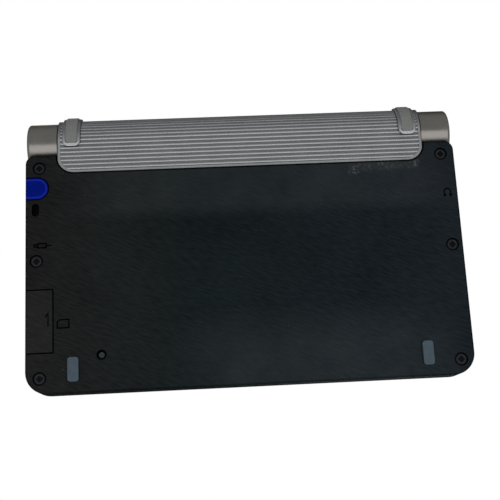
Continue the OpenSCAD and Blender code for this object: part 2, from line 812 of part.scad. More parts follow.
module earphone_jack() {
    color([0.09, 0.09, 0.1]) difference() {
        union() {
            translate([jack_x0, jack_y - jack_w / 2, jack_z - jack_h / 2]) cube([jack_depth, jack_w, jack_h]);
            translate([-case_x, jack_y, jack_z]) rotate([0, 90, 0])
                cylinder(r = jack_nose_r, h = jack_x0 + case_x + loose);
        }
        translate([-case_x - cut, jack_y, jack_z]) rotate([0, 90, 0])
            cylinder(r = jack_bore_r, h = jack_depth + cut);
    }
}

// The slot is the memory card's size with a little room, and opens towards the card door.
module card_socket() {
    slot_w = card_w + 2 * loose;
    slot_h = card_t + 2 * loose;
    h = slot_h + 2 * card_shell;
    x0 = door_x0 - card_socket_l - 0.5;
    y0 = door_y0 + (door_l - slot_w) / 2;
    color([0.7, 0.71, 0.72]) difference() {
        translate([x0, y0 - card_shell, board_z - h]) cube([card_socket_l, slot_w + 2 * card_shell, h]);
        translate([x0 + card_back_t, y0, board_z - h + card_shell]) cube([card_socket_l, slot_w, slot_h]);
    }
}

module speaker() {
    cone_r = speaker_r - speaker_rim;
    color([0.2, 0.2, 0.22]) translate([speaker_x, speaker_y, speaker_z]) rotate_extrude() {
        square([cone_r, speaker_t - speaker_dip]);
        translate([cone_r, 0]) square([speaker_rim, speaker_t]);
    }
}

// One elastomer strip whose keys come up through the deck.
module function_keypad() {
    sheet_z = deck_under_z - touch - strip_t;
    color([0.3, 0.31, 0.32]) {
        translate([-strip_w / 2, strip_y - strip_d / 2, sheet_z]) cube([strip_w, strip_d, strip_t]);
        for (i = [0:strip_keys - 1]) translate([strip_place(i).x, strip_place(i).y, sheet_z])
            linear_extrude(key_top_z - strip_low - sheet_z)
                round_rect(strip_key_w, strip_key_d, key_corner_r);
    }
}

module writing_pad() {
    color([0.16, 0.17, 0.18]) translate([pad_x, pad_y, well_z - pad_t]) linear_extrude(pad_t)
        round_rect(pad_w, pad_d, pad_corner_r);
}

// ---------- barrel and batteries ----------

// Profile of the housing: a front wall, a cradle and a roof that ends above the cover.
module housing_profile(filled) {
    difference() {
        union() {
            translate([-tongue_reach, shelf_z - barrel_z])
                square([tongue_reach, rim_z - shelf_z]);
            intersection() {
                circle(barrel_r);
                translate([-tongue_reach, shelf_z - barrel_z]) square([2 * tongue_reach, 2 * barrel_r]);
            }
        }
        difference() {
            wedge(-90, housing_end_deg, barrel_r * 2);
            if (filled) circle(core_r);
        }
        if (!filled) circle(bay_r);
    }
}

module battery_housing() {
    end_l = barrel_half - bay_half;
    color([0.14, 0.15, 0.16]) difference() {
        intersection() {
            union() {
                along_barrel(0, 2 * bay_half) housing_profile(false);
                for (s = sides) along_barrel(s * (bay_half + end_l / 2), end_l) housing_profile(true);
            }
            translate([0, 0, base_z]) linear_extrude(3 * barrel_r) union() {
                bay_outline(0);
                translate([-barrel_half, barrel_y - barrel_r]) square([2 * barrel_half, 2 * barrel_r]);
            }
        }
        for (s = sides) along_barrel(s * (barrel_half - pin_l / 4), pin_l / 2 + eps)
            circle(pin_r + thread_gap);
    }
}

module hinge_pins() {
    color([0.7, 0.71, 0.72]) for (s = sides)
        along_barrel(s * (barrel_half + seam / 2), pin_l - 2 * loose) circle(pin_r);
}

// Two cells in line, each with a shouldered end and a nub.
module battery_cells() {
    nub_r = 2.75;
    nub_h = 1.1;
    chamfer = 0.6;
    body_l = cell_l - nub_h;
    color([0.75, 0.62, 0.3]) for (s = sides)
        in_barrel() translate([0, 0, s * (cell_l / 2 + touch) - cell_l / 2]) rotate_extrude()
            polygon([[0, 0], [cell_r - chamfer, 0], [cell_r, chamfer], [cell_r, body_l - chamfer],
                [cell_r - chamfer, body_l], [nub_r, body_l], [nub_r, cell_l], [0, cell_l]]);
}

// A leaf contact: a plate against the end wall, and two springy lips that reach the cell.
module leaf_profile() {
    reach = contact_room - touch - loose;
    translate([0, -leaf_half]) square([leaf_t, 2 * leaf_half]);
    for (s = sides)
        polygon([[0, s * leaf_half], [reach, s * lip_half], [reach, s * (lip_half - leaf_t)],
            [0, s * (leaf_half - 2 * leaf_t)]]);
}

module battery_contacts() {
    color([0.78, 0.79, 0.8]) for (s = sides)
        translate([s * bay_half, barrel_y + leaf_w / 2, barrel_z]) rotate([90, 0, 0]) linear_extrude(leaf_w)
            mirror([s > 0 ? 1 : 0, 0]) leaf_profile();
}

// Half of a rib's length at a distance in front of the barrel's axis.
function rib_half(y) =
    let (r = tongue_corner_r - (side_border + front_border) / 2,
         into = max(y - (tongue_reach - front_border - r), 0))
    barrel_half - side_border - r + sqrt(r * r - into * into);

// The outer side of one rib, on the +x axis; its root lies inside the cover's wall.
module rib() {
    intersection() {
        translate([rib_centre_r, 0]) circle(rib_r);
        translate([rib_root_r, -barrel_r]) square([barrel_r, 2 * barrel_r]);
    }
}

// The cover's curved wall out to a radius, with a plain lip at its upper end.
module cover_wall(r_out) {
    intersection() {
        difference() {
            union() {
                circle(r_out);
                intersection() {
                    circle(barrel_r);
                    wedge(cover_end_deg - cover_lip_deg, cover_end_deg + cover_lip_deg, 2 * barrel_r);
                }
            }
            circle(cover_in_r);
        }
        wedge(-90, cover_end_deg, 2 * barrel_r);
    }
}

module cover_ribbed_profile() {
    last = floor((cover_end_deg - cover_lip_deg + 90) / rib_arc_deg - 0.5);
    cover_wall(groove_r);
    for (i = [0:last]) rotate(-90 + i * rib_arc_deg) rib();
}

module tongue_outline(side, front) {
    r = tongue_corner_r - (side + front) / 2;
    half = barrel_half - side;
    y0 = tongue_y + front;
    translate([-half, y0 + r]) square([2 * half, barrel_y - y0 - r]);
    translate([-half + r, y0]) square([2 * (half - r), r]);
    for (s = sides) translate([s * (half - r), y0 + r]) circle(r);
}

// The tongue's grooved field is cut into it, and the ribs are laid in the field.
module cover_tongue() {
    field_half = barrel_half - side_border;
    difference() {
        translate([0, 0, base_z]) linear_extrude(cover_t) tongue_outline(0, 0);
        translate([0, 0, base_z - cut]) linear_extrude(cut + rib_depth) {
            tongue_outline(side_border, front_border);
            translate([-field_half, barrel_y - cut]) square([2 * field_half, 2 * cut]);
        }
    }
    for (i = [1:tongue_ribs]) {
        y = i * tongue_reach / (tongue_ribs + 1);
        along_barrel(0, 2 * rib_half(y)) translate([-y, 0]) rotate(-90) rib();
    }
}

// What rounding takes off one corner of a foot, seen from outside. The arc is a little larger than
// the corner, so that it crosses the foot's sides at a slight angle and leaves no thin sliver.
module corner_waste(corner) {
    difference() {
        square(corner + cut);
        circle(corner + corner_over);
    }
}

// The profile of a foot, whose two outer edges are rounded.
module foot_profile(r_in, r_out, w, edge) {
    translate([r_in, -w / 2]) square([r_out - edge - r_in, w]);
    translate([r_in, -w / 2 + edge]) square([r_out - r_in, w - 2 * edge]);
    for (s = sides) translate([r_out - edge, s * (w / 2 - edge)]) circle(edge);
}

// A foot wrapped round the barrel: a ring sector whose four corners are cut round.
module foot_sector(r_in, r_out, w, corner, edge, grow_deg) {
    from_deg = rear_foot_from - grow_deg;
    to_deg = rear_foot_to + grow_deg;
    corner_deg = asin(corner / r_out);
    difference() {
        rotate([0, 0, from_deg]) rotate_extrude(angle = to_deg - from_deg)
            foot_profile(r_in, r_out, w, edge);
        for (e = [[from_deg + corner_deg, 1], [to_deg - corner_deg, 0]], s = [0, 1])
            rotate([0, 0, e[0]]) rotate([90, 0, 90]) linear_extrude(r_out + cut)
                mirror([e[1], 0]) mirror([0, s]) translate([0, w / 2 - corner]) corner_waste(corner);
    }
}

// A foot's pad, or with a rim width the raised rim round it, on both sides of the middle.
module rear_foot_pair(r_in, r_out, rim, edge) {
    for (s = sides) in_barrel() translate([0, 0, s * foot_x])
        foot_sector(r_in, r_out, rear_pad_w + 2 * rim, rear_pad_r + rim, edge, asin(rim / barrel_r));
}

module battery_cover() {
    color([0.52, 0.53, 0.54]) difference() {
        union() {
            along_barrel(0, 2 * (barrel_half - side_border)) cover_ribbed_profile();
            for (s = sides)
                along_barrel(s * (barrel_half - side_border / 2), side_border) cover_wall(barrel_r);
            cover_tongue();
            rear_foot_pair(rib_root_r, barrel_r + rear_rim_h, rear_rim_w, rear_edge_r);
        }
        rear_foot_pair(pad_seat_r, barrel_r + foot_proud + 2 * cut, touch, rear_edge_r);
    }
}

module rear_feet() {
    color([0.42, 0.43, 0.43]) rear_foot_pair(pad_seat_r, barrel_r + foot_proud, 0, rear_edge_r);
}

// ---------- stylus, card door, reset button ----------

module stylus_shaft() {
    shaft_l = stylus_l - tail_l;
    color([0.1, 0.12, 0.5]) translate([case_x - stylus_l, stylus_y, stylus_z])
        rotate([0, 90, 0]) rotate_extrude()
            polygon([[0, 0], [0.5, 0], [0.7, 0.4], [stylus_r, tip_l], [stylus_r, shaft_l], [0, shaft_l]]);
}

// The band of the case's side, with its rounded lower edge, that flush pieces share.
module side_band(y0, y1) {
    translate([0, y1, base_z]) rotate([90, 0, 0]) linear_extrude(y1 - y0)
        corner_profile(case_x, bottom_h, edge_r);
}

module stylus_cap() {
    color([0.05, 0.08, 0.55]) intersection() {
        translate([0, 0, base_z]) linear_extrude(tail_h) stylus_mouth(0);
        side_band(stylus_y - tail_w, stylus_y + tail_w);
    }
}

// An L of floor and side wall that swings out on two pins at its upper edge.
module card_door() {
    pin_reach = seam + door_pin_l;
    color([0.13, 0.15, 0.16]) {
        difference() {
            intersection() {
                translate([door_x0, door_y0, base_z]) cube([door_w, door_l, door_axis_z - base_z]);
                side_band(door_y0 - cut, door_y0 + door_l + cut);
            }
            translate([door_x0 - cut, door_y0 - cut, floor_z])
                cube([door_w + cut - wall, door_l + 2 * cut, bottom_h]);
        }
        translate([door_axis_x, door_y0, door_axis_z]) rotate([-90, 0, 0])
            cylinder(r = wall / 2, h = door_l);
        translate([door_axis_x, door_y0 - pin_reach, door_axis_z]) rotate([-90, 0, 0])
            cylinder(r = door_pin_r, h = door_l + 2 * pin_reach);
    }
}

module reset_button() {
    face_z = base_z + reset_sunk;
    flange_z = floor_z + touch;
    stem_z = flange_z + reset_flange_t;
    color([0.62, 0.63, 0.63]) translate([reset_x, reset_y, 0]) rotate_extrude() {
        translate([0, face_z]) square([reset_tip_r, flange_z - face_z]);
        translate([0, flange_z]) square([reset_flange_r, reset_flange_t]);
        translate([0, stem_z]) square([reset_stem_r, board_z - reset_travel - touch - stem_z]);
    }
}

// ---------- lid ----------

module lid_slab() {
    translate([0, 0, lid_top_z]) mirror([0, 0, 1])
        slab(cap_out_x, lid_front_y, lid_rear_y + lid_tail, lid_corner_r, lid_tail,
            lid_top_z - lid_z, lid_edge_r);
}

// The lid's inside, round the posts that its screws go into.
module lid_cavity() {
    roof_z = lid_top_z - lid_wall;
    difference() {
        translate([0, 0, lid_z - cut]) linear_extrude(roof_z - lid_z + cut)
            outline(lid_in_x, lid_front_y + lid_wall, bezel_rear_y + loose, lid_corner_r - lid_wall, 1);
        for (p = bezel_screws) translate([p.x, p.y, bezel_top_z]) cylinder(r = post_r, h = lid_top_z);
    }
    for (p = bezel_screws) translate([p.x, p.y, lid_z])
        cylinder(r = screw_r + thread_gap, h = roof_z - lid_z - loose);
}

module lid_shell() {
    wing_x = cap_in_x - seam / 2;
    color([0.1, 0.1, 0.11]) difference() {
        lid_slab();
        lid_cavity();
        in_barrel() cylinder(r = lid_clear_r, h = 2 * wing_x, center = true);
        translate([-case_x, lid_rear_y, lid_z - cut]) cube([2 * case_x, 3 * lid_tail, lid_top_z]);
        for (s = sides) translate([s > 0 ? wing_x : -case_x, wing_y, lid_z - cut])
            cube([case_x - wing_x, 2 * barrel_r, lid_top_z]);
    }
}

// The lid's own edge profile, so that the wings carry its rounded edge on.
module wing_profile() {
    intersection() {
        mirror([0, 1]) translate([0, -lid_top_z]) corner_profile(cap_out_x, lid_top_z - barrel_z, lid_edge_r);
        translate([cap_in_x, barrel_z - cut]) square([cap_l + cut, cap_r + 2 * cut]);
    }
}

module hinge_cap() {
    difference() {
        union() {
            in_barrel() translate([0, 0, cap_in_x]) rotate_extrude() difference() {
                square([cap_r, cap_l]);
                translate([cap_r - cap_edge_r, cap_l - cap_edge_r]) difference() {
                    square(cap_edge_r + cut);
                    circle(cap_edge_r);
                }
            }
            translate([0, barrel_y, 0]) rotate([90, 0, 0]) linear_extrude(wing_back - eps) intersection() {
                wing_profile();
                translate([cap_in_x, lid_z]) square([cap_l, lid_top_z]);
            }
        }
        in_barrel() translate([0, 0, cap_in_x - cut])
            cylinder(r = pin_r + pin_clearance, h = cut + pin_l / 2 + 4 * loose);
    }
}

module hinge_caps() {
    color([0.56, 0.56, 0.57]) {
        hinge_cap();
        mirror([1, 0, 0]) hinge_cap();
    }
}

module screen_bezel() {
    color([0.1, 0.1, 0.11]) difference() {
        translate([0, 0, lid_z]) linear_extrude(bezel_t) difference() {
            outline(lid_in_x - loose, lid_front_y + lid_wall + loose, bezel_rear_y,
                lid_corner_r - lid_wall - loose, 1);
            translate([0, screen_y]) round_rect(screen_w, screen_d, 1);
        }
        for (p = bezel_screws) translate([p.x, p.y, lid_z - cut]) {
            cylinder(r = lid_screw_head_r + loose, h = cut + loose + lid_screw_head_h);
            cylinder(r = screw_r + thread_gap, h = bezel_t + 2 * cut);
        }
    }
}

module lcd_panel() {
    color([0.55, 0.58, 0.52]) translate([0, screen_y, bezel_top_z + touch]) linear_extrude(panel_t)
        round_rect(screen_w + 2 * panel_lap, screen_d + 2 * panel_lap, 0.5);
}

module screen_window() {
    color([0.6, 0.65, 0.66, 0.5]) translate([0, screen_y, bezel_top_z - window_t]) linear_extrude(window_t)
        round_rect(screen_w - 2 * touch, screen_d - 2 * touch, 1);
}

module lid_bumpers() {
    color([0.2, 0.2, 0.2]) for (p = bumper_places) translate([p.x, p.y, well_z + loose])
        cylinder(r = bumper_r, h = lid_z - well_z - loose);
}

module lid_screws() {
    color([0.1, 0.1, 0.11]) for (p = bezel_screws) translate([p.x, p.y, lid_z + loose]) {
        cylinder(r = lid_screw_head_r, h = lid_screw_head_h);
        cylinder(r = screw_r, h = lid_top_z - lid_wall - lid_z - 3 * loose);
    }
}

// ---------- keys ----------

// A key: a cap that comes up through the deck, over a flange that keeps it in.
module key(w, d, place) {
    color([0.8, 0.81, 0.82]) translate([place.x, place.y, 0]) {
        translate([0, 0, flange_top_z - eps]) linear_extrude(key_top_z - flange_top_z + eps)
            round_rect(w, d, key_corner_r);
        translate([0, 0, key_bottom_z]) linear_extrude(flange_t)
            round_rect(w + 2 * flange_w, d + 2 * flange_w, key_corner_r + flange_w);
    }
}

// A letter key has a shallow dish for the fingertip.
module letter_key(place) {
    dish_r = (key_w * key_w / 4 + key_dish * key_dish) / (2 * key_dish);
    difference() {
        key(key_w, key_d, place);
        translate([place.x, place.y, key_top_z - key_dish + dish_r]) rotate([90, 0, 0])
            cylinder(r = dish_r, h = key_d + 2 * cut, center = true, $fn = 120);
    }
}

// A ring with a rounded outer edge, over a flange that keeps it in.
module cursor_pad() {
    hole_r = ok_r + ring_gap;
    edge_x = cursor_r - ring_edge_r;
    key_h = key_top_z - key_bottom_z;
    color([0.55, 0.56, 0.57]) translate([cursor_place.x, cursor_place.y, key_bottom_z]) rotate_extrude() {
        translate([hole_r, 0]) square([cursor_r + flange_w - hole_r, flange_t]);
        translate([hole_r, 0]) square([edge_x - hole_r, key_h]);
        translate([edge_x - eps, 0]) square([ring_edge_r + eps, key_h - ring_edge_r]);
        translate([edge_x, key_h - ring_edge_r]) circle(ring_edge_r);
    }
}

module ok_key() {
    color([0.55, 0.56, 0.57]) translate([cursor_place.x, cursor_place.y, key_bottom_z])
        cylinder(r = ok_r, h = key_top_z - key_bottom_z);
}

bottom_cover();
keyboard_deck();
main_board();
board_chips();
key_membrane();
case_screws();
front_feet();
battery_housing();
battery_contacts();
battery_cells();
usb_socket();
earphone_jack();
card_socket();
speaker();
hinge_pins();
function_keypad();
writing_pad();
battery_cover();
rear_feet();
stylus_shaft();
stylus_cap();
card_door();
reset_button();
lid_shell();
hinge_caps();
screen_bezel();
lcd_panel();
screen_window();
lid_bumpers();
lid_screws();
cursor_pad();
ok_key();
key(cluster_w, enter_d, enter_place);  // enter_key
key(cluster_w, key_d, back_place);  // back_key
for (i = [0:len(letters) - 1])
    letter_key(letter_place(i));
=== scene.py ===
"""Looks of the pocket electronic dictionary: materials, small marks, lights, floor and camera.

Lengths are in metres, or in mm where a name or a comment says so. Angles are in degrees.
"""
import math

import bpy
from mathutils import Matrix, Vector


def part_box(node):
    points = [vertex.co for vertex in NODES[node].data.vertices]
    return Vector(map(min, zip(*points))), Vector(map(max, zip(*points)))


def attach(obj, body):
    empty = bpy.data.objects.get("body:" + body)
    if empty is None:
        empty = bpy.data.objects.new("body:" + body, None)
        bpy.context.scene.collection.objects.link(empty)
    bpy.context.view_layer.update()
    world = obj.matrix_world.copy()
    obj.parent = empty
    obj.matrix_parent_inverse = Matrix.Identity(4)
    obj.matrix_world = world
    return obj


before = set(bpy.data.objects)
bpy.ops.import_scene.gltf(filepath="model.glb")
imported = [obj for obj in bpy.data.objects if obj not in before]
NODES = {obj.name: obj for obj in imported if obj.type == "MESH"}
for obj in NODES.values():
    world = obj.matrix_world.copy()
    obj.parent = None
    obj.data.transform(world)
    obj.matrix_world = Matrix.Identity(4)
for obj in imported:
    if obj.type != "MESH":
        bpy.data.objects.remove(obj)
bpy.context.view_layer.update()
MM = 0.001


# ---------- places that the looks are worked out from ----------

# Points of a node that lie nearer to each other than this belong to one thing
SPOTS_APART = 10 * MM


def low(node):
    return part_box(node)[0]


def high(node):
    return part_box(node)[1]


def middle(points):
    """The middle of the rectangle that points in the XY plane fill."""
    xs = [point.x for point in points]
    ys = [point.y for point in points]
    return (Vector((min(xs), min(ys))) + Vector((max(xs), max(ys)))) / 2


def spots(node):
    """The middle, seen along Z, of each thing that a node holds."""
    groups = []
    for vertex in NODES[node].data.vertices:
        point = vertex.co.xy
        near = next((group for group in groups if (group[0] - point).length < SPOTS_APART), None)
        if near is None:
            groups.append([point])
        else:
            near.append(point)
    return [middle(group) for group in groups]


BASE_Z = low("bottom_cover").z
SEAM_X = high("battery_cover").x
TONGUE_Y = low("battery_cover").y
BARREL = (low("hinge_pins") + high("hinge_pins")) / 2
BARREL_R = BARREL.z - BASE_Z
SCREW_SPOTS = spots("case_screws")
RESET_SPOT = spots("reset_button")

# Radii of a screw's head, the reset hole and the reset button's tip
SCREW_HEAD_MM = 1.9
RESET_HOLE_MM = 1.5
RESET_TIP_MM = 0.95
# Depth of the battery cover's grooves, and radius of its tongue's corners
RIB_DEPTH_MM = 0.35
TONGUE_CORNER_MM = 5.5
# How far the card door's pins reach past its sides, and the radius of its corners
DOOR_PIN_MM = 1.1
DOOR_CORNER_MM = 0.4
# An outline that runs out over the case's side is closed this far outside it
PAST = 20 * MM


# ---------- colours and node helpers ----------

# Where most values of a noise lie
NOISE_RANGE = (0.3, 0.7)
# A mix node's sockets for the factor and two colours, and for the mixed colour
MIX_INPUTS = (0, 6, 7)
MIX_OUTPUT = 2
# Cosines between the true and the rounded normal: a face's, and one well inside a round edge
FACE_COSINE = 0.995
EDGE_COSINE = 0.85


def srgb(red, green, blue):
    """A colour given as it shows on a screen, 0 to 255, in the renderer's linear values."""
    def linear(value):
        value /= 255
        return value / 12.92 if value <= 0.04045 else ((value + 0.055) / 1.055) ** 2.4
    return (linear(red), linear(green), linear(blue))


class Graph:
    """A material's node tree, with short calls for the nodes that recur."""

    def __init__(self, name):
        self.material = bpy.data.materials.new(name)
        self.material.use_nodes = True
        self.tree = self.material.node_tree
        self.shader = self.tree.nodes["Principled BSDF"]
        self.place = self.add("ShaderNodeTexCoord").outputs["Object"]

    def put(self, socket, value):
        """Links a socket to another one, or sets it to a constant."""
        if isinstance(value, bpy.types.NodeSocket):
            self.tree.links.new(value, socket)
        elif socket.type == "RGBA":
            socket.default_value = (*value, 1)
        else:
            socket.default_value = value

    def add(self, kind, **inputs):
        node = self.tree.nodes.new(kind)
        for key, value in inputs.items():
            self.put(node.inputs[key], value)
        return node

    def operate(self, kind, operation, *values):
        """A node that is set to an operation, with values for its sockets in their order."""
        node = self.tree.nodes.new(kind)
        node.operation = operation
        for socket, value in zip(node.inputs, values):
            self.put(socket, value)
        return node

    def set(self, key, value):
        self.put(self.shader.inputs[key], value)

    def fix(self, **values):
        """Sets the shader's own sockets to what is the same all over the surface."""
        for key, value in values.items():
            self.set(key.replace("_", " "), value)

    # Places and patterns

    def axes(self):
        return self.add("ShaderNodeSeparateXYZ", Vector=self.place).outputs

    def noise(self, size_mm, detail=2.0, place=None, roughness=0.5):
        node = self.add("ShaderNodeTexNoise", Vector=place or self.place, Scale=1 / (size_mm * MM),
                        Detail=detail, Roughness=roughness)
        return node.outputs["Fac"]

    def dots(self, spacing_mm, radius):
        """One on small dots, about a spacing apart, and zero between them."""
        node = self.add("ShaderNodeTexVoronoi", Vector=self.place, Scale=1 / (spacing_mm * MM))
        return self.ramp(node.outputs["Distance"], radius, radius / 2)

    def stretch(self, scale, turn_deg):
        """The place, turned about Z and then scaled along each axis."""
        turned = self.add("ShaderNodeMapping", Vector=self.place,
                          Rotation=(0, 0, math.radians(turn_deg)))
        scaled = self.add("ShaderNodeMapping", Vector=turned.outputs["Vector"], Scale=scale)
        return scaled.outputs["Vector"]

    # Sums

    def calc(self, operation, first, second=0.0):
        return self.operate("ShaderNodeMath", operation, first, second).outputs["Value"]

    def length(self, first, second):
        squares = [self.calc("MULTIPLY", side, side) for side in (first, second)]
        return self.calc("SQRT", self.calc("ADD", *squares))

    def remap(self, value, start, end, to_start, to_end):
        node = self.add("ShaderNodeMapRange", Value=value)
        numbers = {"From Min": start, "From Max": end, "To Min": to_start, "To Max": to_end}
        for key, number in numbers.items():
            self.put(node.inputs[key], number)
        return node.outputs["Result"]

    def ramp(self, value, zero_at, one_at):
        return self.remap(value, zero_at, one_at, 0.0, 1.0)

    def spread(self, noise, least, most):
        """A noise whose usual range is stretched to two other values."""
        return self.remap(noise, *NOISE_RANGE, least, most)

    # Masks

    def all_of(self, *masks):
        result = masks[0]
        for mask in masks[1:]:
            result = self.calc("MULTIPLY", result, mask)
        return result

    def any_of(self, *masks):
        result = masks[0]
        for mask in masks[1:]:
            result = self.calc("MAXIMUM", result, mask)
        return result

    def band(self, value, start_mm, end_mm, soft_mm):
        """One between two values, falling to zero over a soft edge outside them."""
        rise = self.ramp(value, (start_mm - soft_mm) * MM, start_mm * MM)
        fall = self.ramp(value, (end_mm + soft_mm) * MM, end_mm * MM)
        return self.all_of(rise, fall)

    def patch(self, along_x_mm, along_y_mm):
        """One in a rectangle with soft sides: each is given by its start, end and softness."""
        x, y, _ = self.axes()
        return self.all_of(self.band(x, *along_x_mm), self.band(y, *along_y_mm))

    def nearest(self, places):
        """The distance along the XY plane to the nearest of some places."""
        x, y, _ = self.axes()
        here = self.add("ShaderNodeCombineXYZ", X=x, Y=y).outputs["Vector"]
        result = None
        for place in places:
            node = self.operate("ShaderNodeVectorMath", "DISTANCE", here, (*place, 0))
            distance = node.outputs["Value"]
            result = distance if result is None else self.calc("MINIMUM", result, distance)
        return result

    def from_outline(self, start, end, corner_mm):
        """How far a place lies outside a rectangle with round corners, less than zero inside it."""
        corner = corner_mm * MM
        sides = []
        for value, first, last in zip(self.axes(), start, end):
            off = self.calc("ABSOLUTE", self.calc("SUBTRACT", value, (first + last) / 2))
            sides.append(self.calc("SUBTRACT", off, (last - first) / 2 - corner))
        outside = self.length(*(self.calc("MAXIMUM", side, 0.0) for side in sides))
        inside = self.calc("MINIMUM", self.calc("MAXIMUM", *sides), 0.0)
        return self.calc("SUBTRACT", self.calc("ADD", outside, inside), corner)

    # Colours and normals

    def mix(self, factor, first, second):
        node = self.tree.nodes.new("ShaderNodeMix")
        node.data_type = "RGBA"
        for index, value in zip(MIX_INPUTS, (factor, first, second)):
            self.put(node.inputs[index], value)
        return node.outputs[MIX_OUTPUT]

    def scaled(self, colour, factor):
        node = self.operate("ShaderNodeVectorMath", "SCALE", colour)
        self.put(node.inputs["Scale"], factor)
        return node.outputs["Vector"]

    def round_normal(self, radius_mm):
        node = self.add("ShaderNodeBevel", Radius=radius_mm * MM)
        node.samples = 6
        return node.outputs["Normal"]

    def edge_mask(self, radius_mm):
        """One along the edges of the shape, and zero on its faces."""
        true_normal = self.add("ShaderNodeNewGeometry").outputs["Normal"]
        node = self.operate("ShaderNodeVectorMath", "DOT_PRODUCT", self.round_normal(radius_mm),
                            true_normal)
        return self.ramp(node.outputs["Value"], FACE_COSINE, EDGE_COSINE)

    def bump(self, height, depth_mm, normal=None):
        node = self.add("ShaderNodeBump", Height=height, Distance=depth_mm * MM)
        if normal is not None:
            self.put(node.inputs["Normal"], normal)
        return node.outputs["Normal"]


# ---------- materials ----------

# How round a moulded part's edges are, how wide the wear along them is, and how much paler it is
EDGE_MM = 0.12
WEAR_REACH_MM = 3 * EDGE_MM
WEAR_GAIN = 1.5
WEAR_LIFT = 0.05
GRAIN_DEPTH_MM = 0.004
ROUGHNESS_SPREAD = 0.06


def moulded(name, colour, roughness=0.5, specular=0.3, metallic=0.0, mottle_mm=9.0, mottle=0.08,
            grain_mm=0.25, wear=0.15):
    """A moulded part: mottled colour, fine grain, soft edges and paler worn edges."""
    graph = Graph(name)
    patches = graph.spread(graph.noise(mottle_mm, detail=4.0), 0.0, 1.0)
    toned = graph.scaled(colour, graph.remap(patches, 0.0, 1.0, 1 - mottle, 1 + mottle))
    lightened = graph.all_of(graph.edge_mask(WEAR_REACH_MM), wear)
    paler = tuple(min(1.0, part * WEAR_GAIN + WEAR_LIFT) for part in colour)
    graph.set("Base Color", graph.mix(lightened, toned, paler))
    grain = graph.noise(grain_mm, detail=3.0)
    graph.set("Normal", graph.bump(grain, GRAIN_DEPTH_MM, graph.round_normal(EDGE_MM)))
    graph.set("Roughness", graph.remap(patches, 0.0, 1.0, roughness - ROUGHNESS_SPREAD,
                                       roughness + ROUGHNESS_SPREAD))
    graph.fix(Specular_IOR_Level=specular, Metallic=metallic)
    return graph


def dulled(graph, metallic, edge_tint=0.0):
    """A weak gloss that stays weak at grazing angles, as dirt and fine texture keep it."""
    graph.fix(Specular_IOR_Level=0.0, Metallic=metallic, Specular_Tint=(edge_tint,) * 3)
    return graph.material


# The case's hue from one side to the other, with the places between which it drifts
HUE_PORTS = srgb(28, 28, 28)
HUE_MIDDLE = srgb(21, 27, 28)
HUE_JACK = srgb(24, 29, 33)
PORTS_TO_MIDDLE_MM = (70, 20)
MIDDLE_TO_JACK_MM = (10, -60)
# The moulded lines: their spacing, how long they are drawn out, and how far they are turned from
# the hinge's direction, seen from below
LINE_MM = 0.6
LINE_STRETCH = (0.16, 1.0, 1.0)
LINE_TURN_DEG = 22.6
LINE_DEPTH_MM = 0.012
LINE_CONTRAST = 0.25
CLOUD_MM = 30.0
CLOUD_CONTRAST = 0.18
CASE_EDGE_MM = 0.1
DUST_SPACING_MM = 5.0
DUST_RADIUS = 0.025
DUST_STRENGTH = 0.4


def case_plastic(name, tone=1.0):
    """Black plastic with fine slanting lines, a slow drift of hue, a painted sheen, dust, scuffs, and
    painted shade and dirt at the seams.
    """
    graph = Graph(name)
    x = graph.axes()[0]
    ports_side = graph.ramp(x, *(place * MM for place in PORTS_TO_MIDDLE_MM))
    jack_side = graph.ramp(x, *(place * MM for place in MIDDLE_TO_JACK_MM))
    hue = graph.mix(jack_side, graph.mix(ports_side, HUE_PORTS, HUE_MIDDLE), HUE_JACK)
    lines = graph.noise(LINE_MM, place=graph.stretch(LINE_STRETCH, -LINE_TURN_DEG))
    clouds = graph.noise(CLOUD_MM, detail=3.0)
    shade = graph.calc("ADD", graph.spread(lines, -LINE_CONTRAST, LINE_CONTRAST),
                       graph.spread(clouds, tone - CLOUD_CONTRAST, tone + CLOUD_CONTRAST))
    colour = graph.scaled(hue, shade)
    dust = graph.all_of(graph.dots(DUST_SPACING_MM, DUST_RADIUS), DUST_STRENGTH)
    layers = (
        # The first layer is a painted sheen, and the last is painted shade and dirt along the seams
        (painted_sheen_mask(graph), srgb(62, 67, 70)),
        (dust, srgb(120, 124, 126)),
        (scuff_mask(graph), srgb(140, 141, 142)),
        (seam_mask(graph), srgb(4, 4, 6)),
    )
    for mask, tint in layers:
        colour = graph.mix(mask, colour, tint)
    graph.set("Base Color", colour)
    graph.set("Roughness", graph.spread(clouds, 0.46, 0.56))
    graph.set("Normal", graph.bump(lines, LINE_DEPTH_MM, graph.round_normal(CASE_EDGE_MM)))
    return dulled(graph, 0.35)


# The painted sheen's two patches, each along X and along Y, as graph.patch takes them
REAR_SHEEN_MM = ((-60.0, 42.0, 22.0), (13.0, 30.0, 5.0))
FRONT_SHEEN_MM = ((-50.0, 5.0, 25.0), (-46.0, -36.0, 14.0))
SHEEN_STRENGTH = 0.16


def painted_sheen_mask(graph):
    """A pale painted sheen, standing in for a reflection, behind the middle of the underside and along
    its front.
    """
    rear = graph.patch(*REAR_SHEEN_MM)
    front = graph.patch(*FRONT_SHEEN_MM)
    uneven = graph.spread(graph.noise(12.0, detail=4.0), 0.7, 1.3)
    return graph.all_of(graph.any_of(rear, front), uneven, SHEEN_STRENGTH)


# The worn strip's ends along X, its sides in front of the tongue, and how soft they are
SCUFF_X_MM = (-60.0, -38.0)
SCUFF_FRONT_MM = (2.6, 0.4)
SCUFF_SOFT_MM = 1.5
# The rubbed spots' places, along X and in front of the tongue, and the radii at which a spot
# ends and is full
SCUFF_SPOTS_MM = ((-38.5, 3.0), (-48.8, 1.2), (-59.5, 1.0))
SCUFF_SPOT_MM = (2.6, 0.6)
# The noise at which flakes begin and are full
FLAKE_RANGE = (0.5, 0.68)
# How strong the film over the strip is, and the flakes in the spots and in the strip
FILM_STRENGTH = 0.02
SPOT_STRENGTH = 0.45
STRIP_STRENGTH = 0.14


